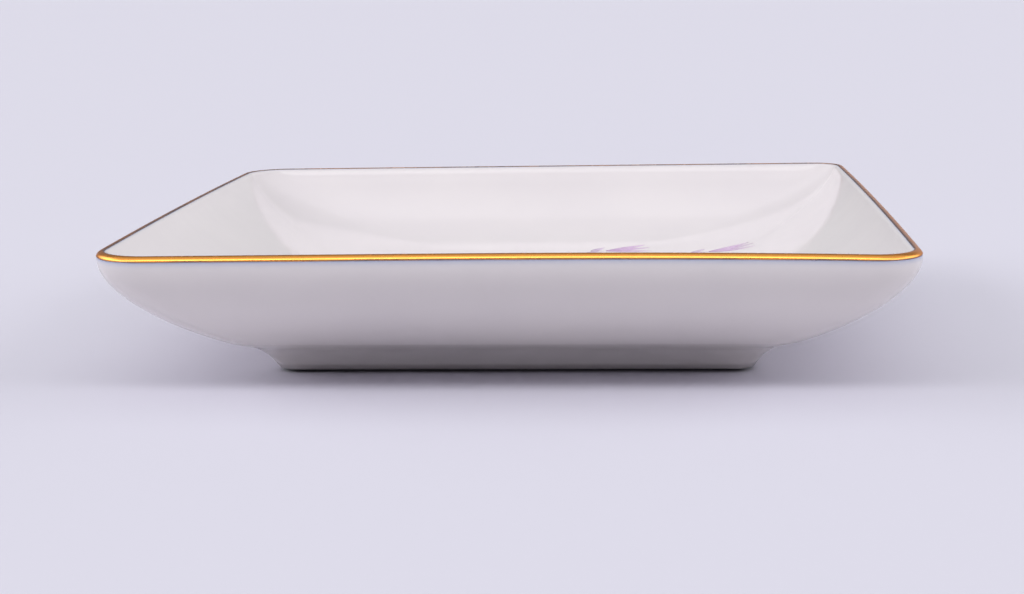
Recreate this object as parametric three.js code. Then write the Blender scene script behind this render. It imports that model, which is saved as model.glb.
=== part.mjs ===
// A square porcelain ring dish: a shallow well with curved walls, a ring foot and a gilded rim.
// Lengths are millimetres. The origin is the middle of the underside, +Z is up and -Y is the front.
// The pieces are the layers of the ware: fired body, glaze over it, glaze under it, fired gold.
import * as THREE from "three";

// Rim and lip
const width = 119.8;
const height = 21.6;
const rimCornerRadius = 7;
const lipRadius = 1;

// How the rim moved in the kiln: its four sides bowed out, its front arched up, most on the right,
// its left and right sides arched a little, it twisted, and its left side leans out at the front
const sideBow = 0.3;
const frontRise = 0.52;
const frontRiseSkewShare = 0.58;
const sideRise = 0.27;
const rimTwist = 0.22;
const leftLean = 0.7;
const backRightExtraRadius = -1;
const backLeftExtraRadius = 1;
const frontLeftExtraRadius = 1.5;
const frontRightExtraRadius = 1;

// Wall seen from outside, from the lip down to the crease above the foot
const shoulderReach = 4.9;
const creaseInset = 15.3;
const creaseReach = 7.8;
const bellySlope = THREE.MathUtils.degToRad(28);
const wallCornerRadius = 5;

// Ledge under the crease, and the ring foot
const ledgeWidth = 5.3;
const ledgeSlope = THREE.MathUtils.degToRad(20);
const coveRadius = 7.5;
const footHeight = 3.9;
const footCornerRadius = 3.2;
const footDraft = THREE.MathUtils.degToRad(32);
const footBevelWidth = 2.2;
const footBevelHeight = 0.5;
const footEdgeRadius = 0.15;
const footLandWidth = 1.8;
const footInnerDraft = THREE.MathUtils.degToRad(15);

// Recess under the base
const recessDepth = 3.4;
const recessFilletRadius = 1.5;
const recessCornerRadius = 1.8;

// Well
const baseThickness = 4.3;
const floorBeyondCrease = 14.7;
const floorRise = 0.9;
const wellSlope = THREE.MathUtils.degToRad(62);
const wellShoulderReach = 3.6;
const wellFloorReach = 18;
const wellCornerGrowthShare = 0.42;
const roundestCornerShare = 0.85;

// Glaze and gold
const glazeThickness = 0.3;
const glazeLineHeight = 0.55;
const giltThickness = 0.12;
const giltInsideAngle = THREE.MathUtils.degToRad(14);
const giltOutsideAngle = THREE.MathUtils.degToRad(72);

// How finely the surfaces are divided
const cornerSteps = 6;
const sideSteps = 5;
const wallSteps = 8;
const lipInsideSteps = 2;
const lipGildedSteps = 5;
const lipOutsideSteps = 1;
const coveSteps = 4;
const edgeSteps = 1;
const floorShares = [0.2, 0.45, 0.72];
const roofShares = [0.8, 0.5, 0.2];

// Sizes that follow
const rimHalf = width / 2 - giltThickness;
const crest = height - giltThickness;
const creaseHalf = rimHalf - creaseInset;
const creaseHeight = footHeight + ledgeWidth * Math.tan(ledgeSlope);
const floorHalf = creaseHalf - floorBeyondCrease;
const floorHeight = recessDepth + baseThickness;
const quarterTurn = Math.PI / 2;

// A profile point: half is the distance from the axis to the middle of a side, z the height.
const point = (half, z) => new THREE.Vector2(half, z);

// A point that lies a length away from another, at a slope below the horizontal, towards the axis.
function downhill(from, slope, length) {
  return point(from.x - length * Math.cos(slope), from.y - length * Math.sin(slope));
}

// An arc in the profile's plane; angles are measured from straight up, positive towards the axis.
function arc(centre, radius, from, to, steps) {
  return Array.from({ length: steps + 1 }, (_, i) => {
    const angle = from + ((to - from) * i) / steps;
    return point(centre.x - radius * Math.sin(angle), centre.y + radius * Math.cos(angle));
  });
}

// The arc that rounds the corner between two straight stretches, tangent to both.
function rounded(before, corner, after, radius, steps) {
  const back = before.clone().sub(corner).normalize();
  const ahead = after.clone().sub(corner).normalize();
  const halfAngle = Math.acos(back.dot(ahead)) / 2;
  const middle = back.clone().add(ahead).normalize();
  const centre = corner.clone().addScaledVector(middle, radius / Math.sin(halfAngle));
  const reach = radius / Math.tan(halfAngle);
  const start = corner.clone().addScaledVector(back, reach).sub(centre);
  const end = corner.clone().addScaledVector(ahead, reach).sub(centre);
  const turn = Math.atan2(start.cross(end), start.dot(end));
  return Array.from({ length: steps + 1 }, (_, i) =>
    start.clone().rotateAround(point(0, 0), (turn * i) / steps).add(centre));
}

// The lip is half round; its inner end runs on into the wall of the well at the same slope.
const lipCentre = point(rimHalf - lipRadius, crest - lipRadius);
const lipInside = arc(lipCentre, lipRadius, wellSlope, giltInsideAngle, lipInsideSteps);
const lipGilded = arc(lipCentre, lipRadius, giltInsideAngle, -giltOutsideAngle, lipGildedSteps);
const lipOutside = arc(lipCentre, lipRadius, -giltOutsideAngle, -quarterTurn, lipOutsideSteps);

// The wall of the well sweeps from the lip down into the slightly dished floor.
function wellWall() {
  const lipEnd = lipInside[0];
  const floorEdge = point(floorHalf, floorHeight + floorRise);
  const floorEdgeSlope = Math.atan((2 * floorRise) / floorHalf);
  return new THREE.CubicBezierCurve(
    floorEdge,
    downhill(floorEdge, floorEdgeSlope, -wellFloorReach),
    downhill(lipEnd, wellSlope, wellShoulderReach),
    lipEnd,
  ).getPoints(wallSteps);
}

// The floor rises as the square of the distance from its middle.
const wellFloor = floorShares.map((share) =>
  point(floorHalf * share, floorHeight + floorRise * share ** 2));

// The outer wall drops plumb from the lip and curves in to the crease.
const crease = point(creaseHalf, creaseHeight);
const outerWall = new THREE.CubicBezierCurve(
  point(rimHalf, lipCentre.y),
  point(rimHalf, lipCentre.y - shoulderReach),
  downhill(crease, bellySlope, -creaseReach),
  crease,
).getPoints(wallSteps);

// Below the crease a flatter ledge meets the foot's leaning wall in a cove.
const footTop = point(creaseHalf - ledgeWidth, footHeight);
const onFootWall = (z) => point(footTop.x - (footHeight - z) * Math.tan(footDraft), z);
const cove = rounded(crease, footTop, onFootWall(0), coveRadius, coveSteps);

// The glazed surface from the middle of the floor, over the lip, to the glaze line on the foot.
const glazed = [
  ...wellFloor,
  ...wellWall(),
  ...lipInside.slice(1),
  ...lipGilded.slice(1),
  ...lipOutside.slice(1),
  ...outerWall.slice(1),
  ...cove,
  onFootWall(glazeLineHeight),
];
const giltStart = glazed.indexOf(lipInside[lipInsideSteps]);
const giltEnd = glazed.indexOf(lipGilded[lipGildedSteps]);

// Plan corner radius of the outer wall: it tightens from the rim to the crease, and on to the foot.
function outerCornerRadius(p) {
  const onWall = Math.max(0, 1 - (rimHalf - p.x) / creaseInset);
  const onLedge = THREE.MathUtils.clamp((p.x - footTop.x) / ledgeWidth, 0, 1);
  const atLedge = footCornerRadius + (wallCornerRadius - footCornerRadius) * onLedge;
  return atLedge + (rimCornerRadius - wallCornerRadius) * onWall ** 2;
}

// Plan corner radius of the lip and the well: one centre round the lip, then ever wider.
function innerCornerRadius(p) {
  const lipEnd = lipInside[0].x;
  const onLip = rimCornerRadius - rimHalf + Math.max(p.x, lipEnd);
  const inWell = wellCornerGrowthShare * Math.max(0, lipEnd - p.x);
  return Math.min(onLip + inWell, roundestCornerShare * p.x);
}

// Moves an open profile sideways by a distance, square to itself; positive is to the outside.
function offset(points, distance) {
  return points.map((p, i) => {
    const into = p.clone().sub(points[Math.max(i - 1, 0)]);
    const out = points[Math.min(i + 1, points.length - 1)].clone().sub(p);
    const a = (into.length() ? into : out).clone().normalize();
    const b = (out.length() ? out : into).clone().normalize();
    const along = a.clone().add(b).normalize();
    const stretch = distance / along.dot(a);
    return point(p.x - along.y * stretch, p.y + along.x * stretch);
  });
}

// How much the kiln moved a point: all of it at the rim, and nothing at the foot.
const moved = (z) => (z / height) ** 2;

// The sides bow and arch, opposite corners rise and sink, and the left side leans out at the front.
function settled(x, y, z) {
  const across = x / (width / 2);
  const along = y / (width / 2);
  const archShape = (1 - across ** 2) * (1 + frontRiseSkewShare * across);
  const arch = frontRise * archShape * ((1 - along) / 2) ** 2;
  const sideArch = sideRise * (1 - along ** 2) * across ** 2;
  const twist = rimTwist * across * along;
  const lean = leftLean * along * ((1 - across) / 2) ** 2;
  const bowX = sideBow * across * (1 - along ** 2);
  const bowY = sideBow * along * (1 - across ** 2);
  const move = [lean + bowX, bowY, arch + sideArch + twist];
  return [x, y, z].map((start, axis) => start + move[axis] * moved(z));
}

// Rounder or tighter corners of the rim, one after the other from the right end of the back.
const cornerExtraRadii = [
  backRightExtraRadius,
  backLeftExtraRadius,
  frontLeftExtraRadius,
  frontRightExtraRadius,
];

// One ring of vertices: a square of the given half width whose corners are rounded.
let ringCount = 0;
function ring({ half, z, radius }) {
  const radii = cornerExtraRadii.map((extra) =>
    Math.min(radius + extra * moved(z), roundestCornerShare * half));
  const vertices = [];
  radii.forEach((cornerRadius, corner) => {
    const turn = corner * quarterTurn;
    const place = (u, v) => {
      const x = u * Math.cos(turn) - v * Math.sin(turn);
      const y = u * Math.sin(turn) + v * Math.cos(turn);
      vertices.push(settled(x, y, z));
    };
    const sideStart = radii[(corner + radii.length - 1) % radii.length] - half;
    const sideEnd = half - cornerRadius;
    for (let i = 1; i < sideSteps; i++) {
      place(half, sideStart + ((sideEnd - sideStart) * i) / sideSteps);
    }
    for (let i = 0; i <= cornerSteps; i++) {
      const angle = (quarterTurn * i) / cornerSteps;
      place(sideEnd + cornerRadius * Math.cos(angle), sideEnd + cornerRadius * Math.sin(angle));
    }
  });
  return { order: ringCount++, vertices };
}

// The middle of a surface that closes on the axis.
const pole = (z) => ({ order: ringCount++, vertices: [settled(0, 0, z)] });

// Rings for a profile and the plan corner radius at each of its points.
function rings(profile, radii) {
  return profile.map((p, i) => ring({ half: p.x, z: p.y, radius: radii[i] }));
}

// The plan corner radii of a profile that was moved sideways keep their centres.
function followingRadii(shifted, original, radii) {
  return shifted.map((p, i) => radii[i] + p.x - original[i].x);
}

// A closed skin through the rings in order. Two skins that share rings share their faces too,
// because a face's diagonal always starts on the ring that was made first.
function skin(loop, closesOnItself) {
  const positions = [];
  const triangle = (...corners) => corners.forEach((corner) => positions.push(...corner));
  const last = closesOnItself ? loop.length : loop.length - 1;
  for (let k = 0; k < last; k++) {
    const upper = loop[k];
    const lower = loop[(k + 1) % loop.length];
    const count = Math.max(upper.vertices.length, lower.vertices.length);
    for (let i = 0; i < count; i++) {
      const a = upper.vertices[i];
      const b = lower.vertices[i];
      const aNext = upper.vertices[(i + 1) % count];
      const bNext = lower.vertices[(i + 1) % count];
      if (upper.vertices.length === 1) {
        triangle(upper.vertices[0], b, bNext);
      } else if (lower.vertices.length === 1) {
        triangle(a, lower.vertices[0], aNext);
      } else if (upper.order < lower.order) {
        triangle(a, b, bNext);
        triangle(a, bNext, aNext);
      } else {
        triangle(a, b, aNext);
        triangle(b, bNext, aNext);
      }
    }
  }
  const geometry = new THREE.BufferGeometry();
  geometry.setAttribute("position", new THREE.Float32BufferAttribute(positions, 3));
  geometry.computeVertexNormals();
  return geometry;
}

// Glazed surface and the fired body's surface a glaze thickness below it.
const glazedRadii = glazed.map((p, i) => (i > giltEnd ? outerCornerRadius(p) : innerCornerRadius(p)));
const bodyUnderGlaze = offset(glazed, -glazeThickness);
const bodyRadii = followingRadii(bodyUnderGlaze, glazed, glazedRadii);
const glazedRings = rings(glazed, glazedRadii);
const coveredRings = rings(bodyUnderGlaze, bodyRadii);
const floorPole = pole(floorHeight);
const floorBodyPole = pole(floorHeight - glazeThickness);

// The gold lies on the glazed lip.
const giltTop = offset(glazed, giltThickness).slice(giltStart, giltEnd + 1);
const giltUnder = glazed.slice(giltStart, giltEnd + 1);
const giltRadii = followingRadii(giltTop, giltUnder, glazedRadii.slice(giltStart, giltEnd + 1));
const giltRings = rings(giltTop, giltRadii);

// The foot's wall ends in a bevel that keeps the glaze off the table, then comes the flat land.
const glazeLine = bodyUnderGlaze[bodyUnderGlaze.length - 1];
const bevelDrop = glazeLine.y - footBevelHeight;
const bevelTop = point(glazeLine.x - bevelDrop * Math.tan(footDraft), footBevelHeight);
const outerToe = point(bevelTop.x - footBevelWidth, 0);
const innerToe = point(outerToe.x - footLandWidth, 0);
const onInnerWall = (z) => point(innerToe.x - z * Math.tan(footInnerDraft), z);
const roofCorner = onInnerWall(recessDepth + glazeThickness);

// The bare foot: the bevel's edge, the toe where the land starts, and the land's inner edge.
const outerEdge = [
  ...rounded(glazeLine, bevelTop, outerToe, footEdgeRadius, edgeSteps),
  ...rounded(bevelTop, outerToe, innerToe, footEdgeRadius, edgeSteps),
];
const innerEdge = rounded(outerToe, innerToe, roofCorner, footEdgeRadius, edgeSteps);
const outerEdgeRadius = bodyRadii[bodyRadii.length - 1] - glazeLine.x;
const footRings = [
  ...rings(outerEdge, outerEdge.map((p) => outerEdgeRadius + p.x)),
  ...rings(innerEdge, innerEdge.map(() => recessCornerRadius)),
];

// The recess inside the foot, from the glaze line up its wall and across its roof.
const recess = [
  onInnerWall(glazeLineHeight),
  ...rounded(innerToe, roofCorner, point(0, roofCorner.y), recessFilletRadius, coveSteps),
  ...roofShares.map((share) => point(roofCorner.x * share, roofCorner.y)),
];
const recessGlazed = offset(recess, glazeThickness);
const recessRadii = recess.map(() => recessCornerRadius);
const recessRings = rings(recess, recessRadii);
const recessGlazedRings = rings(recessGlazed, followingRadii(recessGlazed, recess, recessRadii));
const recessPole = pole(roofCorner.y);
const recessGlazedPole = pole(recessDepth);

const reversed = (list) => [...list].reverse();

function piece(name, geometry, color, roughness, metalness) {
  const mesh = new THREE.Mesh(
    geometry,
    new THREE.MeshStandardMaterial({ color, roughness, metalness }),
  );
  mesh.name = name;
  return mesh;
}

const porcelainBody = piece(
  "porcelain_body",
  skin([floorBodyPole, ...coveredRings, ...footRings, ...recessRings, recessPole], false),
  "#ece8e2",
  0.85,
  0,
);

const glazeCoat = piece(
  "glaze_coat",
  skin([floorPole, ...glazedRings, ...reversed(coveredRings), floorBodyPole], false),
  "#eeeaec",
  0.1,
  0,
);

const baseGlaze = piece(
  "base_glaze",
  skin([recessPole, ...reversed(recessRings), ...recessGlazedRings, recessGlazedPole], false),
  "#eeeaec",
  0.12,
  0,
);

const giltRimBand = piece(
  "gilt_rim_band",
  skin([...giltRings, ...reversed(glazedRings.slice(giltStart, giltEnd + 1))], true),
  "#e0a128",
  0.2,
  1,
);

const dish = new THREE.Group();
dish.add(porcelainBody, glazeCoat, baseGlaze, giltRimBand);

export default dish;
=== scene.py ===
"""A square ring dish of glazed white porcelain with a gilded rim, seen from just above its front edge.

Lengths are millimetres, and become metres where a mesh, a lamp or a camera is made.
+Z is up, -Y is the front, and the origin is the middle of the underside.
A wall is a profile of (half width, height) points, carried round a square plan with rounded corners.
"""

import math

import bpy
import numpy as np
from mathutils import Matrix, Vector


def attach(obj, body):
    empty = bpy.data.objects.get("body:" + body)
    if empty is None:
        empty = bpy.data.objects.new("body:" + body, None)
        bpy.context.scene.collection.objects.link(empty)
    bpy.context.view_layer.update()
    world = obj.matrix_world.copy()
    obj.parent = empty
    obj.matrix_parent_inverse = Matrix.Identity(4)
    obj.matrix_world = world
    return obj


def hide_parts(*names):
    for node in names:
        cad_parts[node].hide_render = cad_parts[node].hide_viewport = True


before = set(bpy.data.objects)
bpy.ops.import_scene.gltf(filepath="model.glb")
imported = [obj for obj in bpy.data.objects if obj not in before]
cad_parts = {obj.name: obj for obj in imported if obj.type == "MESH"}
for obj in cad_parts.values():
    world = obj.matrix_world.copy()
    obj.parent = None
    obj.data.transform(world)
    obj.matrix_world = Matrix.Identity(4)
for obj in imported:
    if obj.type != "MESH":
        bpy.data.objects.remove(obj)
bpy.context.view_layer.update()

METRES_PER_MM = 0.001

# Rim and lip
WIDTH = 119.8
HEIGHT = 21.6
RIM_CORNER_RADIUS = 7.0
LIP_RADIUS = 1.0

# How the rim moved in the kiln: its four sides bowed out, its front arched up, most on the right,
# its left and right sides arched a little, it twisted, and its left side leans out at the front
SIDE_BOW = 0.3
FRONT_RISE = 0.52
FRONT_RISE_SKEW_SHARE = 0.58
SIDE_RISE = 0.27
RIM_TWIST = 0.22
LEFT_LEAN = 0.7
BACK_RIGHT_EXTRA_RADIUS = -1.0
BACK_LEFT_EXTRA_RADIUS = 1.0
FRONT_LEFT_EXTRA_RADIUS = 1.5
FRONT_RIGHT_EXTRA_RADIUS = 1.0

# Wall seen from outside, from the lip down to the crease above the foot
SHOULDER_REACH = 4.9
CREASE_INSET = 15.3
CREASE_REACH = 7.8
BELLY_SLOPE = math.radians(28)
WALL_CORNER_RADIUS = 5.0

# Ledge under the crease, and the ring foot
LEDGE_WIDTH = 5.3
LEDGE_SLOPE = math.radians(20)
COVE_RADIUS = 7.5
FOOT_HEIGHT = 3.9
FOOT_CORNER_RADIUS = 3.2
FOOT_DRAFT = math.radians(32)
FOOT_BEVEL_WIDTH = 2.2
FOOT_BEVEL_HEIGHT = 0.5
FOOT_EDGE_RADIUS = 0.15
FOOT_LAND_WIDTH = 1.8
FOOT_INNER_DRAFT = math.radians(15)

# Recess under the base
RECESS_DEPTH = 3.4
RECESS_FILLET_RADIUS = 1.5
RECESS_CORNER_RADIUS = 1.8

# Well
BASE_THICKNESS = 4.3
FLOOR_BEYOND_CREASE = 14.7
FLOOR_RISE = 0.9
WELL_SLOPE = math.radians(62)
WELL_SHOULDER_REACH = 3.6
WELL_FLOOR_REACH = 18.0
WELL_CORNER_GROWTH_SHARE = 0.42
ROUNDEST_CORNER_SHARE = 0.85

# Glaze and gold
GLAZE_THICKNESS = 0.3
GLAZE_LINE_HEIGHT = 0.55
GILT_THICKNESS = 0.12
GILT_INSIDE_ANGLE = math.radians(14)
GILT_OUTSIDE_ANGLE = math.radians(72)
GILT_TAPER_SHARE = 0.12
GILT_EDGE_SHARE = 0.08
# Painted bluish shade along both edges of the gold: how far down the glaze it reaches, inside and
# outside
GOLD_SHADE_REACH_INSIDE = 0.12
GOLD_SHADE_REACH_OUTSIDE = 0.35

# How finely the surfaces are divided
SIDE_STEPS = 24
CORNER_STEPS = 20
FLOOR_STEPS = 14
WALL_STEPS = 40
LIP_INSIDE_STEPS = 8
LIP_GILDED_STEPS = 30
LIP_OUTSIDE_STEPS = 5
COVE_STEPS = 16
EDGE_STEPS = 6
ROOF_STEPS = 6
ROOF_RING_SHARES = (0.8, 0.1)
HALVINGS = 30

# Sizes that follow
RIM_HALF = WIDTH / 2 - GILT_THICKNESS
CREST = HEIGHT - GILT_THICKNESS
CREASE_HALF = RIM_HALF - CREASE_INSET
CREASE_HEIGHT = FOOT_HEIGHT + LEDGE_WIDTH * math.tan(LEDGE_SLOPE)
FLOOR_HALF = CREASE_HALF - FLOOR_BEYOND_CREASE
FLOOR_HEIGHT = RECESS_DEPTH + BASE_THICKNESS
QUARTER_TURN = math.pi / 2


# Profiles

def point(half, z):
    """A point of a profile: its distance from the axis, and its height."""
    return np.array([half, z], float)


def downhill(start, slope, length):
    """The point a length away from start, at a slope below the horizontal, towards the axis."""
    return start - length * point(math.cos(slope), math.sin(slope))


def arc(centre, radius, start, end, steps):
    """centre + radius (-sin a, cos a) for angles a from straight up, positive towards the axis."""
    angle = np.linspace(start, end, steps + 1)
    return centre + radius * np.column_stack((-np.sin(angle), np.cos(angle)))


def bezier(a, b, c, d, steps):
    """The cubic whose four points weigh (1-t)^3, 3t(1-t)^2, 3t^2(1-t) and t^3."""
    t = np.linspace(0, 1, steps + 1)[:, None]
    return (1 - t) ** 3 * a + 3 * t * (1 - t) ** 2 * b + 3 * t**2 * (1 - t) * c + t**3 * d


def rounded(before, corner, after, radius, steps):
    """The arc of that radius which is tangent to both straight stretches that meet at a corner."""
    back = (before - corner) / np.linalg.norm(before - corner)
    ahead = (after - corner) / np.linalg.norm(after - corner)
    half_angle = math.acos(back @ ahead) / 2
    middle = (back + ahead) / np.linalg.norm(back + ahead)
    centre = corner + middle * radius / math.sin(half_angle)
    start = corner + back * radius / math.tan(half_angle) - centre
    end = corner + ahead * radius / math.tan(half_angle) - centre
    turn = math.atan2(start[0] * end[1] - start[1] * end[0], start @ end)
    angle = np.linspace(0, turn, steps + 1)[:, None]
    across = point(-start[1], start[0])
    return centre + start * np.cos(angle) + across * np.sin(angle)


def offset(profile, distance):
    """The profile moved sideways, at each point along the mean of the directions before and after it,
    turned a quarter."""
    step = np.diff(profile, axis=0)
    step /= np.linalg.norm(step, axis=1)[:, None]
    into = np.vstack((step[:1], step))
    out = np.vstack((step, step[-1:]))
    along = into + out
    along /= np.linalg.norm(along, axis=1)[:, None]
    stretch = np.broadcast_to(distance, len(profile)) / np.sum(along * into, axis=1)
    return profile + np.column_stack((-along[:, 1], along[:, 0])) * stretch[:, None]


def well_floor():
    """Height = the middle's height + the rise times the square of the share of the way out."""
    share = np.linspace(0, 1, FLOOR_STEPS + 1)[1:-1]
    return np.column_stack((FLOOR_HALF * share, FLOOR_HEIGHT + FLOOR_RISE * share**2))


def well_wall(lip_end):
    """A cubic from the floor's edge, at the floor's slope there, up to the lip, at the well's slope."""
    edge = point(FLOOR_HALF, FLOOR_HEIGHT + FLOOR_RISE)
    edge_slope = math.atan(2 * FLOOR_RISE / FLOOR_HALF)
    leaving = downhill(edge, edge_slope, -WELL_FLOOR_REACH)
    arriving = downhill(lip_end, WELL_SLOPE, WELL_SHOULDER_REACH)
    return bezier(edge, leaving, arriving, lip_end, WALL_STEPS)


def outer_wall(lip_side, crease):
    """A cubic that leaves the lip plumb and reaches the crease at the belly's slope."""
    leaving = lip_side - point(0, SHOULDER_REACH)
    arriving = downhill(crease, BELLY_SLOPE, -CREASE_REACH)
    return bezier(lip_side, leaving, arriving, crease, WALL_STEPS)


def on_foot_wall(z):
    """From the foot's top the wall goes in by the tangent of its draft per millimetre down."""
    foot_top = CREASE_HALF - LEDGE_WIDTH
    return point(foot_top - (FOOT_HEIGHT - z) * math.tan(FOOT_DRAFT), z)


LIP_CENTRE = point(RIM_HALF - LIP_RADIUS, CREST - LIP_RADIUS)
LIP_INSIDE = arc(LIP_CENTRE, LIP_RADIUS, WELL_SLOPE, GILT_INSIDE_ANGLE, LIP_INSIDE_STEPS)
LIP_GILDED = arc(LIP_CENTRE, LIP_RADIUS, GILT_INSIDE_ANGLE, -GILT_OUTSIDE_ANGLE, LIP_GILDED_STEPS)
LIP_OUTSIDE = arc(LIP_CENTRE, LIP_RADIUS, -GILT_OUTSIDE_ANGLE, -QUARTER_TURN, LIP_OUTSIDE_STEPS)
CREASE = point(CREASE_HALF, CREASE_HEIGHT)
FOOT_TOP = point(CREASE_HALF - LEDGE_WIDTH, FOOT_HEIGHT)

GLAZED = np.vstack((
    well_floor(),
    well_wall(LIP_INSIDE[0]),
    LIP_INSIDE[1:],
    LIP_GILDED[1:],
    LIP_OUTSIDE[1:],
    outer_wall(LIP_OUTSIDE[-1], CREASE)[1:],
    rounded(CREASE, FOOT_TOP, on_foot_wall(0), COVE_RADIUS, COVE_STEPS),
    on_foot_wall(GLAZE_LINE_HEIGHT)[None],
))
GILT_START = FLOOR_STEPS + WALL_STEPS + LIP_INSIDE_STEPS - 1
GILT_END = GILT_START + LIP_GILDED_STEPS


# Plan corner radii

def outer_corner_radius(half):
    """Foot radius, growing straight to the wall's over the ledge, then as a square to the rim's."""
    on_wall = np.maximum(0, 1 - (RIM_HALF - half) / CREASE_INSET)
    on_ledge = np.clip((half - FOOT_TOP[0]) / LEDGE_WIDTH, 0, 1)
    at_ledge = FOOT_CORNER_RADIUS + (WALL_CORNER_RADIUS - FOOT_CORNER_RADIUS) * on_ledge
    return at_ledge + (RIM_CORNER_RADIUS - WALL_CORNER_RADIUS) * on_wall**2


def inner_corner_radius(half):
    """One centre round the lip, then a share of the distance into the well is added to the radius."""
    lip_end = LIP_INSIDE[0][0]
    on_lip = RIM_CORNER_RADIUS - RIM_HALF + np.maximum(half, lip_end)
    in_well = WELL_CORNER_GROWTH_SHARE * np.maximum(0, lip_end - half)
    return np.minimum(on_lip + in_well, ROUNDEST_CORNER_SHARE * half)


# Surfaces

def moved(z):
    """How much the kiln moved a point: the square of its height's share, so nothing at the foot."""
    return (z / HEIGHT) ** 2


def settled(points):
    """In shares x', y' of half the width: z gains rise (1 - x'^2) (1 + skew x') ((1 - y')/2)^2 for
    the front, side rise (1 - y'^2) x'^2 and twist x' y'. x gains bow x' (1 - y'^2) and lean
    y' ((1 - x')/2)^2, and y gains bow y' (1 - x'^2). All are times the share that the kiln moved."""
    x, y, z = np.moveaxis(points, -1, 0)
    across, along = x / (WIDTH / 2), y / (WIDTH / 2)
    arch_shape = (1 - across**2) * (1 + FRONT_RISE_SKEW_SHARE * across)
    arch = FRONT_RISE * arch_shape * ((1 - along) / 2) ** 2
    side_arch = SIDE_RISE * (1 - along**2) * across**2
    twist = RIM_TWIST * across * along
    lean = LEFT_LEAN * along * ((1 - across) / 2) ** 2
    bow_x = SIDE_BOW * across * (1 - along**2)
    bow_y = SIDE_BOW * along * (1 - across**2)
    move = np.stack((lean + bow_x, bow_y, arch + side_arch + twist), -1)
    return points + move * moved(z)[..., None]


# Rounder or tighter corners of the rim, one after the other from the right end of the back
CORNER_EXTRA_RADII = (
    BACK_RIGHT_EXTRA_RADIUS,
    BACK_LEFT_EXTRA_RADIUS,
    FRONT_LEFT_EXTRA_RADIUS,
    FRONT_RIGHT_EXTRA_RADIUS,
)


def carried_round(profile, radii):
    """Rings of points. A side runs straight between its two corners, and a corner is
    (c + r cos a, c + r sin a) with c = half - r. The four quarters are turned by 0, 90, 180 and
    270 degrees."""
    half, z = profile[:, :1], profile[:, 1:]
    radius = np.asarray(radii, float)[:, None]
    corners = [np.minimum(radius + extra * moved(z), ROUNDEST_CORNER_SHARE * half)
               for extra in CORNER_EXTRA_RADII]
    step = np.linspace(0, 1, SIDE_STEPS + 1)[1:-1]
    angle = np.linspace(0, QUARTER_TURN, CORNER_STEPS + 1)
    quarters = []
    for number, corner in enumerate(corners):
        side_start, side_end = corners[number - 1] - half, half - corner
        on_side = side_start + (side_end - side_start) * step
        u = np.hstack((half + 0 * step, side_end + corner * np.cos(angle)))
        v = np.hstack((on_side, side_end + corner * np.sin(angle)))
        turned = ((u, v), (-v, u), (-u, -v), (v, -u))[number]
        quarters.append(np.stack((*turned, np.broadcast_to(z, u.shape)), -1))
    return settled(np.concatenate(quarters, axis=1))


def following_radii(shifted, original, radii):
    """Plan corner radii of a profile that was moved sideways: the corners keep their centres."""
    return radii + shifted[:, 0] - original[:, 0]


def on_axis(z):
    """The point of the axis at a height, moved as the kiln moved it."""
    return settled(np.array([0.0, 0.0, z]))


def metres(points):
    """Millimetres times a thousandth."""
    return np.asarray(points, float) * METRES_PER_MM


def smooth_mesh(name, vertices, faces):
    """A mesh in metres from points in millimetres, shaded smooth."""
    mesh = bpy.data.meshes.new(name)
    mesh.from_pydata(metres(vertices), [], faces)
    mesh.polygons.foreach_set("use_smooth", np.ones(len(mesh.polygons), bool))
    mesh.update()
    return mesh


def linked(name, data, material):
    """An object at the origin, with its material, in the scene."""
    data.materials.append(material)
    piece = bpy.data.objects.new(name, data)
    bpy.context.scene.collection.objects.link(piece)
    return piece


def belt(rings, closes):
    """Four-sided faces between each ring and the next, as rows of vertex numbers."""
    count, around = rings.shape[:2]
    numbers = np.arange(count * around).reshape(count, around)
    if closes:
        numbers = np.vstack((numbers, numbers[:1]))
    upper, lower = numbers[:-1], numbers[1:]
    quads = (upper, lower, np.roll(lower, -1, 1), np.roll(upper, -1, 1))
    return np.stack(quads, -1).reshape(-1, 4)


def closed_skin(name, rings, material, first_pole=None, last_pole=None):
    """A closed surface through the rings in order. It ends in two poles on the axis, or has none and
    closes as a loop."""
    vertices = rings.reshape(-1, 3)
    faces = belt(rings, first_pole is None).tolist()
    if first_pole is not None:
        around = rings.shape[1]
        ring = np.arange(around)
        after = np.roll(ring, -1)
        last = ring + len(vertices) - around
        top, bottom = len(vertices), len(vertices) + 1
        faces += np.column_stack((np.full(around, top), ring, after)).tolist()
        faces += np.column_stack((last, np.full(around, bottom), np.roll(last, -1))).tolist()
        vertices = np.vstack((vertices, first_pole, last_pole))
    return linked(name, smooth_mesh(name, vertices, faces), material)


def seated(piece, node):
    """The piece stands in for a CAD node, which it hides, and rides on the one body."""
    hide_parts(node)
    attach(piece, "root")


# Colours and nodes

NOISE = "ShaderNodeTexNoise"
RANGE = "ShaderNodeMapRange"
MATH = "ShaderNodeMath"
MIX = "ShaderNodeMix"
BUMP = "ShaderNodeBump"
ATTRIBUTE = "ShaderNodeAttribute"
LIGHT_PATH = "ShaderNodeLightPath"
PLACE = "ShaderNodeTexCoord"

# The Mix node's sockets by number, because their names repeat: its share, two values, two colours
SHARE, LOW_VALUE, HIGH_VALUE, FIRST, SECOND = 0, 2, 3, 6, 7
MIXED_COLOUR = 2
COLOURS = {"data_type": "RGBA"}
SMOOTH = {"interpolation_type": "SMOOTHSTEP"}


def linear(code):
    """sRGB hex to linear light: c/12.92 up to 0.04045, else ((c + 0.055)/1.055)^2.4. Alpha is 1."""
    channels = [int(code[i:i + 2], 16) / 255 for i in (1, 3, 5)]
    lit = [c / 12.92 if c <= 0.04045 else ((c + 0.055) / 1.055) ** 2.4 for c in channels]
    return (*lit, 1.0)


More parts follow.
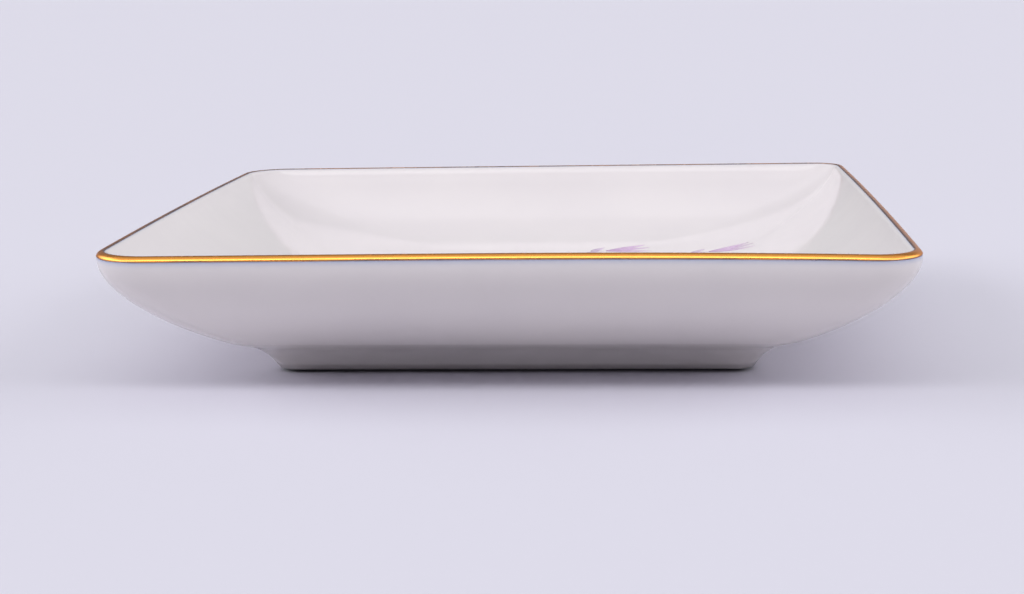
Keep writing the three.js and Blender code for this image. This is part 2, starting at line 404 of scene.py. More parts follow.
def add_node(tree, kind, inputs=(), output=0, **settings):
    """Adds a node with its settings and links, and gives back one of its outputs. Its inputs come by
    name or number, or else in their order. A socket is linked to its input, and a value is set."""
    node = tree.nodes.new(kind)
    for name, value in settings.items():
        setattr(node, name, value)
    for name, value in inputs.items() if isinstance(inputs, dict) else enumerate(inputs):
        if isinstance(value, bpy.types.NodeSocket):
            tree.links.new(value, node.inputs[name])
        else:
            node.inputs[name].default_value = value
    return node.outputs[output]


def new_material(name, base, roughness, metallic=0.0):
    """A material with its Principled shader, and the object's own coordinates for its patterns. The
    base colour and the roughness stay for a viewer that can't read the patterns linked over them."""
    material = bpy.data.materials.new(name)
    material.use_nodes = True
    tree = material.node_tree
    shader = tree.nodes["Principled BSDF"]
    shader.inputs["Base Color"].default_value = linear(base)
    shader.inputs["Roughness"].default_value = roughness
    shader.inputs["Metallic"].default_value = metallic
    return material, tree, shader.inputs, add_node(tree, PLACE, output="Object")


def patches(size):
    """The noise scale for patches of that many millimetres: one over the size in metres."""
    return 1 / (size * METRES_PER_MM)


# Materials

# What the pieces carry for their materials to read, at each point: the share of the way over the gold
# from inside to outside, the painted shade along the gold and in the foot's bevel, and the print's
# colour
OUTWARD = "share_of_the_way_out"
GOLD_EDGE_SHADE = "painted_shade_along_gold"
BEVEL_SHADE = "bevel_shade"
TINT = "tint"

# In the patterns a size is that of the noise's patches, and a range is the stretch of the noise that
# is spread over what it drives, from 0 to 1 or over the values named for it

GLAZE_WHITE = "#eae4e9"
GLAZE_SHADES = ("#e8e2e7", "#ece6ea")
# Bluish grey of the painted shade along the gold's edges
GOLD_EDGE_SHADE_BLUE = "#a4aed0"
GLAZE_ROUGHNESS = (0.05, 0.1)
CLOUD_SIZE = 26.0
CLOUD_RANGE = (0.35, 0.65)
RIPPLE_SIZE = 7.0
RIPPLE_RANGE = (0.3, 0.7)
RIPPLE_DEPTH = 0.022


def glazed_porcelain(name):
    """Hard-paste porcelain under a clear feldspar glaze, fired at high heat: white, wet-looking gloss,
    with the faint unevenness of a dipped glaze. Along both edges of the gold a bluish shade is painted
    in."""
    material, tree, shader, place = new_material(name, GLAZE_WHITE, roughness=0.07)
    cloud = add_node(tree, NOISE, {"Vector": place, "Scale": patches(CLOUD_SIZE), "Detail": 3.0})
    cloudy = add_node(tree, RANGE, (cloud, *CLOUD_RANGE))
    first, second = map(linear, GLAZE_SHADES)
    white = add_node(tree, MIX, {SHARE: cloudy, FIRST: first, SECOND: second}, MIXED_COLOUR, **COLOURS)
    # Painted shade: bluish grey mixed in along the gold's edges
    gold_shade = add_node(tree, ATTRIBUTE, output="Fac", attribute_name=GOLD_EDGE_SHADE)
    mixed = {SHARE: gold_shade, FIRST: white, SECOND: linear(GOLD_EDGE_SHADE_BLUE)}
    tree.links.new(add_node(tree, MIX, mixed, MIXED_COLOUR, **COLOURS), shader["Base Color"])
    ripple = add_node(tree, NOISE, {"Vector": place, "Scale": patches(RIPPLE_SIZE), "Detail": 2.0})
    roughness = add_node(tree, RANGE, (ripple, *RIPPLE_RANGE, *GLAZE_ROUGHNESS))
    tree.links.new(roughness, shader["Roughness"])
    relief = {"Height": ripple, "Strength": 1.0, "Distance": RIPPLE_DEPTH * METRES_PER_MM}
    tree.links.new(add_node(tree, BUMP, relief), shader["Normal"])
    return material


BISCUIT_WHITE = "#e2ddd4"
BISCUIT_SHADES = ("#e6e1d9", "#d6cfc4")
# Dark grey of the painted shade in the foot's bevel, where the foot meets the table
BEVEL_SHADE_GREY = "#5e5a56"
STAIN_SIZE = 3.0
STAIN_RANGE = (0.35, 0.7)
# Real grit is finer than a tenth of a millimetre and wouldn't show, so it is drawn coarser
GRIT_SIZE = 0.25
GRIT_DEPTH = 0.02


def biscuit_porcelain():
    """Porcelain fired without glaze and wiped by hand: off-white, dull and very slightly gritty. Over
    the foot's bevel a dark grey is painted in as shade."""
    material, tree, shader, place = new_material("biscuit_porcelain", BISCUIT_WHITE, roughness=0.8)
    stain = add_node(tree, NOISE, {"Vector": place, "Scale": patches(STAIN_SIZE), "Detail": 4.0})
    stained = add_node(tree, RANGE, (stain, *STAIN_RANGE))
    first, second = map(linear, BISCUIT_SHADES)
    ware = add_node(tree, MIX, {SHARE: stained, FIRST: first, SECOND: second}, MIXED_COLOUR, **COLOURS)
    # Painted shade: dark grey mixed in over the foot's bevel
    bevel_shade = add_node(tree, ATTRIBUTE, output="Fac", attribute_name=BEVEL_SHADE)
    mixed = {SHARE: bevel_shade, FIRST: ware, SECOND: linear(BEVEL_SHADE_GREY)}
    tree.links.new(add_node(tree, MIX, mixed, MIXED_COLOUR, **COLOURS), shader["Base Color"])
    grit = add_node(tree, NOISE, {"Vector": place, "Scale": patches(GRIT_SIZE), "Detail": 2.0})
    relief = {"Height": grit, "Strength": 1.0, "Distance": GRIT_DEPTH * METRES_PER_MM}
    tree.links.new(add_node(tree, BUMP, relief), shader["Normal"])
    return material


GOLD_YELLOW = "#ffae54"
GOLD_THIN = "#8e807a"
GOLD_GLANCING = "#d2cedc"
GOLD_ROUGHNESS = (0.22, 0.3)
STROKE_SIZE = 2.2
STROKE_RANGE = (0.3, 0.7)
STROKE_DEPTH = 0.003
# Over these shares of the way out the film grows full, and thins again. Both wander along the rim.
FILM_GROWS = (0.0, 0.26)
FILM_THINS = (0.86, 1.0)
WANDER_SIZE = 9.0
WANDER_RANGE = (0.35, 0.65)
WANDER = (-0.05, 0.05)


def fired_gold():
    """Bright liquid gold, brushed on and fired: a mirror-like film, deep yellow, that turns thin and
    greyish brown along the edges of the stroke, and grey at a glancing angle."""
    finish = {"roughness": 0.2, "metallic": 1.0}
    material, tree, shader, place = new_material("fired_gold", GOLD_YELLOW, **finish)
    shader["Specular Tint"].default_value = linear(GOLD_GLANCING)
    drift = add_node(tree, NOISE, {"Vector": place, "Scale": patches(WANDER_SIZE), "Detail": 3.0})
    wander = add_node(tree, RANGE, (drift, *WANDER_RANGE, *WANDER))
    outward = add_node(tree, ATTRIBUTE, output="Fac", attribute_name=OUTWARD)
    outward = add_node(tree, MATH, (outward, wander), operation="ADD")
    growing = add_node(tree, RANGE, (outward, *FILM_GROWS))
    thinning = add_node(tree, RANGE, (outward, *FILM_THINS, 1.0, 0.0))
    film = add_node(tree, MATH, (growing, thinning), operation="MULTIPLY")
    mixed = {SHARE: film, FIRST: linear(GOLD_THIN), SECOND: linear(GOLD_YELLOW)}
    tree.links.new(add_node(tree, MIX, mixed, MIXED_COLOUR, **COLOURS), shader["Base Color"])
    stroke = add_node(tree, NOISE, {"Vector": place, "Scale": patches(STROKE_SIZE), "Detail": 3.0})
    roughness = add_node(tree, RANGE, (stroke, *STROKE_RANGE, *GOLD_ROUGHNESS))
    tree.links.new(roughness, shader["Roughness"])
    relief = {"Height": stroke, "Strength": 1.0, "Distance": STROKE_DEPTH * METRES_PER_MM}
    tree.links.new(add_node(tree, BUMP, relief), shader["Normal"])
    return material


PAPER_SEEN = "#dbd9e7"
PAPER_BOUNCE = "#dbd9df"
PAPER_GLOSS = 0.2


def backdrop_paper():
    """Matte seamless paper, the plain ground of a studio. Seen or mirrored it is pale lavender, and
    the light that it throws back on the ware is almost neutral."""
    material, tree, shader, _ = new_material("backdrop_paper", PAPER_SEEN, roughness=0.9)
    shader["Specular IOR Level"].default_value = PAPER_GLOSS
    path = add_node(tree, LIGHT_PATH).node.outputs
    rays = (path["Is Camera Ray"], path["Is Glossy Ray"])
    seen = add_node(tree, MATH, rays, operation="MAXIMUM")
    seen = add_node(tree, MATH, (seen, path["Is Transmission Ray"]), operation="MAXIMUM")
    mixed = {SHARE: seen, FIRST: linear(PAPER_BOUNCE), SECOND: linear(PAPER_SEEN)}
    tree.links.new(add_node(tree, MIX, mixed, MIXED_COLOUR, **COLOURS), shader["Base Color"])
    return material


PRINT_LILAC = "#c79ad6"
PRINT_PALEST = "#ece6ea"
# Real grains of pigment are some thousandths of a millimetre and wouldn't show, so they are coarser
GRAIN_SIZE = 0.35
GRAIN_RANGE = (0.35, 0.7)
GRAIN_PALENESS = (0.0, 0.35)
WASH_SIZE = 2.5
WASH_RANGE = (0.4, 0.7)
WASH_PALENESS = (0.0, 0.3)


def ceramic_print():
    """Ceramic transfer print, fired into the glaze: watery lilac enamel, finely grained where the
    pigment is thin, and as glossy as the glaze round it."""
    material, tree, shader, place = new_material("ceramic_print", PRINT_LILAC, roughness=0.1)
    tint = add_node(tree, ATTRIBUTE, output="Color", attribute_name=TINT)
    grain = add_node(tree, NOISE, {"Vector": place, "Scale": patches(GRAIN_SIZE), "Detail": 2.0})
    grain = add_node(tree, RANGE, (grain, *GRAIN_RANGE, *GRAIN_PALENESS))
    wash = add_node(tree, NOISE, {"Vector": place, "Scale": patches(WASH_SIZE), "Detail": 3.0})
    wash = add_node(tree, RANGE, (wash, *WASH_RANGE, *WASH_PALENESS))
    paler = add_node(tree, MATH, (grain, wash), operation="MAXIMUM")
    mixed = {SHARE: paler, FIRST: tint, SECOND: linear(PRINT_PALEST)}
    tree.links.new(add_node(tree, MIX, mixed, MIXED_COLOUR, **COLOURS), shader["Base Color"])
    return material


# Pieces

GLAZE = glazed_porcelain("clear_glaze_on_porcelain")
BASE_GLAZE = glazed_porcelain("clear_glaze_in_recess")
BISCUIT = biscuit_porcelain()
GOLD = fired_gold()

glazed_radii = np.where(
    np.arange(len(GLAZED)) > GILT_END,
    outer_corner_radius(GLAZED[:, 0]),
    inner_corner_radius(GLAZED[:, 0]),
)
covered = offset(GLAZED, -GLAZE_THICKNESS)
covered_radii = following_radii(covered, GLAZED, glazed_radii)
glazed_rings = carried_round(GLAZED, glazed_radii)
covered_rings = carried_round(covered, covered_radii)


def add_share(piece, name, ring_shares, around):
    """Writes each ring's share on all its points, for the piece's material to read, and 0 on poles."""
    shares = np.zeros(len(piece.data.vertices))
    shares[:len(ring_shares) * around] = np.repeat(ring_shares, around)
    piece.data.attributes.new(name, "FLOAT", "POINT").data.foreach_set("value", shares)


def glaze_coat():
    """The glaze over the well, the lip and the outer wall, down to its line on the foot. Bluish shade
    is painted along both edges of the gold, by a share of exp(-distance along the wall / reach)."""
    rings = np.concatenate((glazed_rings, covered_rings[::-1]))
    poles = on_axis(FLOOR_HEIGHT), on_axis(FLOOR_HEIGHT - GLAZE_THICKNESS)
    coat = closed_skin("glaze_over_dish", rings, GLAZE, *poles)
    along = np.append(0, np.cumsum(np.linalg.norm(np.diff(GLAZED, axis=0), axis=1)))
    inside = along[GILT_START] - along[:GILT_START + 1]
    outside = along[GILT_END:] - along[GILT_END]
    # Painted shade along the gold's edges, fading with the distance from the gold
    gold_shade = np.zeros(len(rings))
    gold_shade[:GILT_START + 1] = np.exp(-inside / GOLD_SHADE_REACH_INSIDE)
    gold_shade[GILT_END:len(GLAZED)] = np.exp(-outside / GOLD_SHADE_REACH_OUTSIDE)
    add_share(coat, GOLD_EDGE_SHADE, gold_shade, rings.shape[1])
    return coat


# The foot's wall ends in a bevel that keeps the glaze off the table, then comes the flat land.
GLAZE_LINE = covered[-1]
BEVEL_DROP = GLAZE_LINE[1] - FOOT_BEVEL_HEIGHT
BEVEL_TOP = GLAZE_LINE - point(BEVEL_DROP * math.tan(FOOT_DRAFT), BEVEL_DROP)
OUTER_TOE = point(BEVEL_TOP[0] - FOOT_BEVEL_WIDTH, 0)
INNER_TOE = OUTER_TOE - point(FOOT_LAND_WIDTH, 0)


def on_inner_wall(z):
    """From the land's inner edge the wall goes in by the tangent of its draft per millimetre up."""
    return point(INNER_TOE[0] - z * math.tan(FOOT_INNER_DRAFT), z)


ROOF_CORNER = on_inner_wall(RECESS_DEPTH + GLAZE_THICKNESS)


def foot_rings():
    """The bare foot: the bevel's edge, the toe where the land starts, and the land's inner edge."""
    outer = np.vstack((
        rounded(GLAZE_LINE, BEVEL_TOP, OUTER_TOE, FOOT_EDGE_RADIUS, EDGE_STEPS),
        rounded(BEVEL_TOP, OUTER_TOE, INNER_TOE, FOOT_EDGE_RADIUS, EDGE_STEPS),
    ))
    inner = rounded(OUTER_TOE, INNER_TOE, ROOF_CORNER, FOOT_EDGE_RADIUS, EDGE_STEPS)
    outer_radii = covered_radii[-1] + outer[:, 0] - GLAZE_LINE[0]
    inner_radii = np.full(len(inner), RECESS_CORNER_RADIUS)
    return np.concatenate((carried_round(outer, outer_radii), carried_round(inner, inner_radii)))


ROOF = point(0, ROOF_CORNER[1])
RECESS = np.vstack((
    on_inner_wall(GLAZE_LINE_HEIGHT)[None],
    rounded(INNER_TOE, ROOF_CORNER, ROOF, RECESS_FILLET_RADIUS, COVE_STEPS),
    ROOF + (ROOF_CORNER - ROOF) * np.linspace(*ROOF_RING_SHARES, ROOF_STEPS)[:, None],
))
recess_radii = np.minimum(RECESS_CORNER_RADIUS, ROUNDEST_CORNER_SHARE * RECESS[:, 0])
recess_rings = carried_round(RECESS, recess_radii)


def porcelain_body():
    """The fired body: under the glaze, over the bare foot and under the recess's glaze. Dark shade is
    painted in the bevel of the foot, from its edge to just short of the toe."""
    rings = np.concatenate((covered_rings, foot_rings(), recess_rings))
    poles = on_axis(FLOOR_HEIGHT - GLAZE_THICKNESS), on_axis(ROOF_CORNER[1])
    body = closed_skin("biscuit_body", rings, BISCUIT, *poles)
    # Painted shade over the bevel of the foot
    bevel_shade = np.zeros(len(rings))
    bevel_shade[len(covered_rings):len(covered_rings) + 2 * EDGE_STEPS + 1] = 1
    add_share(body, BEVEL_SHADE, bevel_shade, rings.shape[1])
    return body


def base_glaze():
    """The recess's own surface, and the same moved out by the glaze's thickness."""
    glazed = offset(RECESS, GLAZE_THICKNESS)
    radii = following_radii(glazed, RECESS, recess_radii)
    rings = np.concatenate((recess_rings[::-1], carried_round(glazed, radii)))
    poles = on_axis(ROOF_CORNER[1]), on_axis(RECESS_DEPTH)
    return closed_skin("glaze_in_recess", rings, BASE_GLAZE, *poles)


def gilt_band():
    """The gold's thickness falls to almost nothing at both edges, as the quarter of a sine."""
    gilded = slice(GILT_START, GILT_END + 1)
    under = GLAZED[gilded]
    from_edge = np.minimum(np.arange(len(under)), np.arange(len(under))[::-1]) / len(under)
    taper = np.sin(QUARTER_TURN * np.minimum(1, from_edge / GILT_TAPER_SHARE + GILT_EDGE_SHARE))
    thickness = np.full(len(GLAZED), GILT_THICKNESS)
    thickness[gilded] *= taper
    over = offset(GLAZED, thickness)[gilded]
    over_rings = carried_round(over, following_radii(over, under, glazed_radii[gilded]))
    rings = np.concatenate((over_rings, glazed_rings[gilded][::-1]))
    band = closed_skin("gold_rim_band", rings, GOLD)
    outward = np.linspace(0, 1, len(under))
    add_share(band, OUTWARD, np.concatenate((outward, outward[::-1])), rings.shape[1])
    return band


seated(porcelain_body(), "porcelain_body")
seated(glaze_coat(), "glaze_coat")
seated(base_glaze(), "base_glaze")
seated(gilt_band(), "gilt_rim_band")


# Decal: a spray of lilac flowers across the floor of the well, printed and fired into the glaze

# A share is of the length or the radius that its piece has, and a turn or an angle is in radians
FILM_THICKNESS = 0.02
STEM_LIFT, LEAF_LIFT, PETAL_LIFT, STAMEN_LIFT = 0.01, 0.02, 0.03, 0.04
NARROWEST = 0.04

STEM_WIDTH = 0.5
STEM_NARROWING = 2 / 3
STEM_STEPS = 36
STEM_COLUMNS = 3
STEM_COLOURS = ("#9a70ae", "#b48cc6")

# A blade's spine stops a little short of both ends, so that it has no point without a width
BLADE_ENDS = (0.03, 0.97)
BLADE_ROWS = 14
BLADE_COLUMNS = 7

LEAF_PLACES = (0.24, 0.42, 0.6, 0.78, 0.92)
LEAF_LENGTH = 7.5
LEAF_SHORTENING = 0.45
LEAF_WIDTH_SHARE = 0.34
LEAF_ANGLE = math.radians(40)
LEAF_BEND = 0.22
LEAF_FULLNESS = 0.8
LEAF_COLOURS = ("#a883bc", "#dcc4e4")
LEAF_TINT_AT_FOOT = 0.25
LEAF_TINT_ALONG = 0.6
LEAF_TINT_ACROSS = 0.25

TIP_LENGTH = 9.0
TIP_WIDTH_SHARE = 0.16
TIP_ANGLES = (-0.35, 0.0, 0.25)
TIP_FULLNESS = 0.9
TIP_COLOURS = ("#b274c4", "#e4c2ea")

PETALS = 5
PETAL_WIDTH_SHARE = 0.62
PETAL_FULLNESS = 1.35
PETAL_COLOURS = ("#9a58b6", "#e6cbee")
PETAL_TINT_POWER = 0.7
PETAL_TINT_ACROSS = 0.12

STAMEN_DISTANCE_SHARE = 0.3
STAMEN_TURN = 0.3
STAMEN_LENGTH_SHARE = 0.168
STAMEN_WIDTH_SHARE = 0.14
STAMEN_FULLNESS = 1.0
STAMEN_COLOURS = ("#6f3f8c", "#7c4a98")

# Each stem is a cubic through the plan, from the first point to the last
STEMS = (
    ((-33, -21), (-18, -27), (4, -15), (14, 7)),
    ((14, 7), (18, 16), (1, 27), (13, 30)),
    ((8, -5), (26, 0), (19, 24), (32, 26)),
    ((-7, -17), (-8, -6), (-14, 5), (-25, 9)),
    ((-21, -24), (-10, -33), (2, -34), (13, -29)),
    ((14, 7), (8, 16), (-6, 15), (-13, 21)),
)
# Each flower has its middle in plan, its turn in degrees, and its radius
FLOWERS = (
    (14, 7, 12, 7.4), (-8, -16, 40, 6.2), (-26, 10, 5, 5.2), (27, 12, 30, 5.0),
    (14, -29, 20, 4.6), (-1, 18.5, 50, 4.4), (-24, -24, 0, 4.2), (11, 24, 25, 3.4),
)


WELL_PROFILE = np.vstack((point(0, FLOOR_HEIGHT)[None], GLAZED[:FLOOR_STEPS + WALL_STEPS]))


def ring_half(x, y):
    """The half width of the ring through a plan point, found by halving. The point lies outside a
    ring while it is further than the corner radius from the square that the corner centres make."""
    low, high = np.zeros_like(x), np.full_like(x, WELL_PROFILE[-1, 0])
    for _ in range(HALVINGS):
        half = (low + high) / 2
        radius = inner_corner_radius(half)
        square = half - radius
        away = np.hypot(np.maximum(np.abs(x) - square, 0), np.maximum(np.abs(y) - square, 0))
        low, high = np.where(away > radius, half, low), np.where(away > radius, high, half)
    return half


def on_well(x, y, lift):
    """A plan point laid on the well and lifted plumb off the glaze."""
    z = np.interp(ring_half(x, y), WELL_PROFILE[:, 0], WELL_PROFILE[:, 1])
    return settled(np.stack((x, y, z), -1)) + np.array([0, 0, lift])


def print_film(x, y, lift):
    """A closed film over a grid of plan points: an upper skin, a lower one numbered after it, and a
    belt round their edge."""
    upper = np.arange(x.size).reshape(x.shape)
    quads = (upper[:-1, :-1], upper[1:, :-1], upper[1:, 1:], upper[:-1, 1:])
    top = np.stack(quads, -1).reshape(-1, 4)
    edge = np.concatenate((upper[:, 0], upper[-1, 1:], upper[-2::-1, -1], upper[0, -2:0:-1]))
    after = np.roll(edge, -1)
    round_edge = np.stack((edge, edge + x.size, after + x.size, after), -1)
    faces = np.vstack((top, top[:, ::-1] + x.size, round_edge))
    vertices = np.vstack((
        on_well(x, y, lift).reshape(-1, 3),
        on_well(x, y, lift - FILM_THICKNESS).reshape(-1, 3),
    ))
    return vertices, faces


def blade(foot, heading, length, width, bend, fullness, lift):
    """A leaf or petal: its spine is foot + length (s, bend s^2) turned to the heading, and its half
    width is width/2 times sin(pi s^fullness). Returns the film, the share s of each point, and how far
    across it is, from -1 to 1."""
    rows, columns = np.linspace(*BLADE_ENDS, BLADE_ROWS), np.linspace(-1, 1, BLADE_COLUMNS)
    s, across = np.meshgrid(rows, columns, indexing="ij")
    half_width = np.maximum(width / 2 * np.sin(math.pi * s**fullness), NARROWEST / 2)
    ahead = length * s
    left = length * bend * s**2 + half_width * across
    x = foot[0] + ahead * math.cos(heading) - left * math.sin(heading)
    y = foot[1] + ahead * math.sin(heading) + left * math.cos(heading)
    return print_film(x, y, lift), s, across


def ribbon(spine, along):
    """A stem's film: the spine plus or minus its half width to the left of its direction. The width
    falls evenly to a third at the tip."""
    share = np.linspace(0, 1, len(spine))[:, None]
    half_width = STEM_WIDTH / 2 * (1 - share * STEM_NARROWING)
    across = np.linspace(-1, 1, STEM_COLUMNS)
    x = spine[:, :1] - along[:, 1:] * half_width * across
    y = spine[:, 1:] + along[:, :1] * half_width * across
    return print_film(x, y, STEM_LIFT), np.broadcast_to(share, x.shape)


def tinted(film, share, colours):
    """A film's vertices and faces, and at each vertex the first colour times 1 - share plus the second
    times the share."""
    share = np.tile(share.ravel(), 2)[:, None]
    first, second = (np.array(linear(code)) for code in colours)
    return *film, first * (1 - share) + second * share


def leafy_stem(curve):
    """The films of a stem along its cubic, of leaves to its left and right in turn that get shorter
    with the place along it, and of a fan of narrow buds at its tip."""
    spine = bezier(*(np.array(corner, float) for corner in curve), STEM_STEPS)
    along = np.gradient(spine, axis=0)
    along /= np.linalg.norm(along, axis=1)[:, None]
    films = [tinted(*ribbon(spine, along), STEM_COLOURS)]
    for number, place in enumerate(LEAF_PLACES):
        at, turn = int(place * STEM_STEPS), (-1) ** number
        heading = math.atan2(along[at, 1], along[at, 0]) + LEAF_ANGLE * turn
        length = LEAF_LENGTH * (1 - LEAF_SHORTENING * place)
        width = length * LEAF_WIDTH_SHARE
        bend = -LEAF_BEND * turn
        film, s, across = blade(spine[at], heading, length, width, bend, LEAF_FULLNESS, LEAF_LIFT)
        share = LEAF_TINT_AT_FOOT + LEAF_TINT_ALONG * s - LEAF_TINT_ACROSS * across * turn
        films.append(tinted(film, np.clip(share, 0, 1), LEAF_COLOURS))
    width = TIP_LENGTH * TIP_WIDTH_SHARE
    for angle in TIP_ANGLES:
        heading = math.atan2(along[-1, 1], along[-1, 0]) + angle
        film, s, _ = blade(spine[-1], heading, TIP_LENGTH, width, 0, TIP_FULLNESS, PETAL_LIFT)
        films.append(tinted(film, s, TIP_COLOURS))
    return films


def flower(x, y, turn, radius):
    """The films of petals at even angles round the middle, each with a stamen a little to its left."""
    films = []
    for petal in range(PETALS):
        heading = math.radians(turn) + math.tau * petal / PETALS
        width = radius * PETAL_WIDTH_SHARE
        film, s, across = blade((x, y), heading, radius, width, 0, PETAL_FULLNESS, PETAL_LIFT)
        share = s**PETAL_TINT_POWER + PETAL_TINT_ACROSS * across**2
        films.append(tinted(film, np.clip(share, 0, 1), PETAL_COLOURS))
        towards = heading + STAMEN_TURN
        distance = radius * STAMEN_DISTANCE_SHARE
        foot = (x + distance * math.cos(towards), y + distance * math.sin(towards))
        length, width = radius * STAMEN_LENGTH_SHARE, radius * STAMEN_WIDTH_SHARE
        film, s, _ = blade(foot, heading, length, width, 0, STAMEN_FULLNESS, STAMEN_LIFT)
        films.append(tinted(film, s, STAMEN_COLOURS))
    return films


def lilac_spray():
    """All films of the print in one mesh: each one's vertex numbers start after the last one's."""
    films = [film for curve in STEMS for film in leafy_stem(curve)]
    films += [film for place in FLOWERS for film in flower(*place)]
    vertices, faces, tints = zip(*films)
    starts = np.cumsum([0, *(len(part) for part in vertices[:-1])])
    numbered = np.vstack([part + start for part, start in zip(faces, starts)])
    mesh = smooth_mesh("lilac_spray_print", np.vstack(vertices), numbered.tolist())
    colours = mesh.attributes.new(TINT, "FLOAT_COLOR", "POINT").data
    colours.foreach_set("color", np.vstack(tints).ravel())
    return linked("lilac_spray_print", mesh, ceramic_print())


spray = lilac_spray()
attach(spray, "root")


# Table

FLOOR_REACH = 6000.0
floor_corners = np.array([[-1, -1, 0], [1, -1, 0], [1, 1, 0], [-1, 1, 0]]) * FLOOR_REACH
floor_mesh = smooth_mesh("paper_table", floor_corners, [[0, 1, 2, 3]])
floor = linked("paper_table", floor_mesh, backdrop_paper())


# Light: a soft room, drawn on the world by direction. Levels are times plain white, tilts are angles,
# and every other edge is a part of the direction, which is one long: x, y or z, or the size of x.

ROOM_LEVEL = 0.1
WALL_LEVEL = 0.4
REAR_START = 0.0
REAR_SOFTNESS = 0.5
DUSK_LEVELS = (0.36, 0.64)
DUSK_REACH = 0.2
DUSK_TOP = math.sin(math.radians(24))
DUSK_SOFTNESS = 0.07
OVERHEAD_LEVEL = 0.18
OVERHEAD_START = 0.6
OVERHEAD_SOFTNESS = 0.35
LAMP_SPREAD = 0.85
SOFTBOX_LEVEL = 3.6
SOFTBOX_TILT = (math.radians(27), math.radians(41))
BOUNCE_LEVEL = 0.46
BOUNCE_TILT = (math.radians(-34), math.radians(27))
GLOW_LEVEL = 0.75
GLOW_TILT = (math.radians(10), math.radians(28))
EDGE_SOFTNESS = math.radians(3)
LEFT_LEVEL = 2.3
RIGHT_LEVEL = 1.5
SIDE_START = 0.7
SIDE_HEIGHTS = (0.25, 0.65)
SIDE_SOFTNESS = 0.08


def around(edge, softness):
    """The two values where a soft edge starts and ends."""
    return edge - softness, edge + softness


def window(tree, value, low, high, softness):
    """1 between two edges and 0 outside them: the product of a smooth rise and a smooth fall."""
    rise = add_node(tree, RANGE, (value, *around(low, softness)), **SMOOTH)
    fall = add_node(tree, RANGE, (value, *around(high, softness), 1.0, 0.0), **SMOOTH)
    return add_node(tree, MATH, (rise, fall), operation="MULTIPLY")


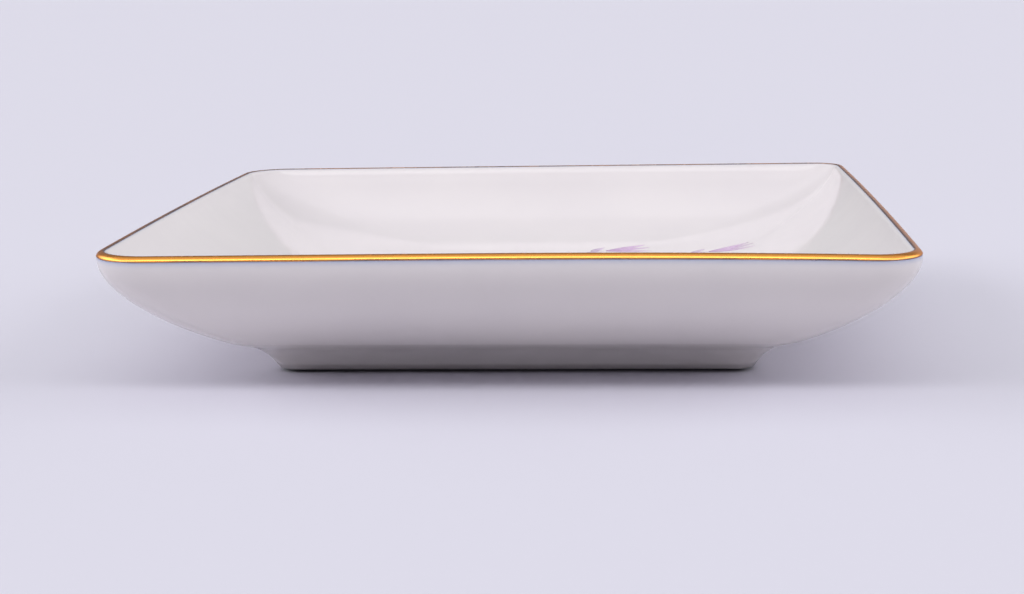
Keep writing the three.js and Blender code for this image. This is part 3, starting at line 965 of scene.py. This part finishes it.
def studio_world():
    """Light by direction: a dim room in front, dusk just above the paper behind, brighter on its
    right, a pale wall over it and a soft ceiling. A softbox hangs in front of the zenith, a weak broad
    lamp over the rest of it, and one lamp stands low on each side. The glow of the softbox's cloth past
    its lamp is shown to glossy rays only: gold and glaze mirror it, and it adds no other light.
    Tilt is the angle from straight up towards the front, and x, y and z are the direction's parts."""
    world = bpy.data.worlds.new("soft_studio")
    world.use_nodes = True
    tree = world.node_tree
    direction = add_node(tree, PLACE, output="Generated")
    x, y, z = add_node(tree, "ShaderNodeSeparateXYZ", (direction,)).node.outputs
    forward = add_node(tree, MATH, (y, -1.0), operation="MULTIPLY")
    tilt = add_node(tree, MATH, (forward, z), operation="ARCTAN2")

    dusk = add_node(tree, RANGE, (x, -DUSK_REACH, DUSK_REACH, *DUSK_LEVELS))
    above_dusk = add_node(tree, RANGE, (z, *around(DUSK_TOP, DUSK_SOFTNESS)), **SMOOTH)
    rear = add_node(tree, MIX, {SHARE: above_dusk, LOW_VALUE: dusk, HIGH_VALUE: WALL_LEVEL})
    behind = add_node(tree, RANGE, (y, *around(REAR_START, REAR_SOFTNESS)), **SMOOTH)
    walls = add_node(tree, MIX, {SHARE: behind, LOW_VALUE: ROOM_LEVEL, HIGH_VALUE: rear})
    overhead = add_node(tree, RANGE, (z, *around(OVERHEAD_START, OVERHEAD_SOFTNESS)), **SMOOTH)
    level = add_node(tree, MIX, {SHARE: overhead, LOW_VALUE: walls, HIGH_VALUE: OVERHEAD_LEVEL})

    sideways = add_node(tree, MATH, (x,), operation="ABSOLUTE")
    lamp_end = around(LAMP_SPREAD, SIDE_SOFTNESS)
    in_reach = add_node(tree, RANGE, (sideways, *lamp_end, 1.0, 0.0), **SMOOTH)
    mirroring = add_node(tree, LIGHT_PATH, output="Is Glossy Ray")
    glow_level = add_node(tree, MATH, (mirroring, GLOW_LEVEL), operation="MULTIPLY")
    lamps = ((SOFTBOX_TILT, SOFTBOX_LEVEL), (BOUNCE_TILT, BOUNCE_LEVEL), (GLOW_TILT, glow_level))
    for tilts, strength in lamps:
        between = window(tree, tilt, *tilts, EDGE_SOFTNESS)
        lamp = add_node(tree, MATH, (between, in_reach), operation="MULTIPLY")
        level = add_node(tree, MATH, (lamp, strength, level), operation="MULTIPLY_ADD")

    at_height = window(tree, z, *SIDE_HEIGHTS, SIDE_SOFTNESS)
    for side, strength in ((-1.0, LEFT_LEVEL), (1.0, RIGHT_LEVEL)):
        towards = add_node(tree, MATH, (x, side), operation="MULTIPLY")
        beside = add_node(tree, RANGE, (towards, *around(SIDE_START, SIDE_SOFTNESS)), **SMOOTH)
        lamp = add_node(tree, MATH, (beside, at_height), operation="MULTIPLY")
        level = add_node(tree, MATH, (lamp, strength, level), operation="MULTIPLY_ADD")

    background = tree.nodes["Background"].inputs
    tree.links.new(level, background["Strength"])
    background["Color"].default_value = linear("#ffffff")
    bpy.context.scene.world = world


studio_world()


# Camera, at the photograph's place

IMAGE_WIDTH_PX = 1024
FOCAL_LENGTH_PX = 1952.0
SENSOR_WIDTH_MM = 36.0
EYE = (18.59, -331.8, 64.21)
YAW = math.radians(-3.65)
PITCH = math.radians(-10.05)
ROLL = math.radians(-0.85)


def photograph_camera():
    """Looks along (sin yaw cos pitch, cos yaw cos pitch, sin pitch), then rolls about that line."""
    ahead = Vector((math.sin(YAW) * math.cos(PITCH), math.cos(YAW) * math.cos(PITCH), math.sin(PITCH)))
    level = Vector((math.cos(YAW), -math.sin(YAW), 0))
    upright = level.cross(ahead)
    right = math.cos(ROLL) * level + math.sin(ROLL) * upright
    top = math.cos(ROLL) * upright - math.sin(ROLL) * level
    data = bpy.data.cameras.new("photograph_camera")
    data.sensor_width = SENSOR_WIDTH_MM
    data.lens = FOCAL_LENGTH_PX * SENSOR_WIDTH_MM / IMAGE_WIDTH_PX
    camera = bpy.data.objects.new("photograph_camera", data)
    turned = Matrix((right, top, -ahead)).transposed().to_4x4()
    camera.matrix_world = Matrix.Translation(metres(EYE)) @ turned
    bpy.context.scene.collection.objects.link(camera)
    bpy.context.scene.camera = camera


photograph_camera()
bpy.context.scene.view_settings.view_transform = "Standard"
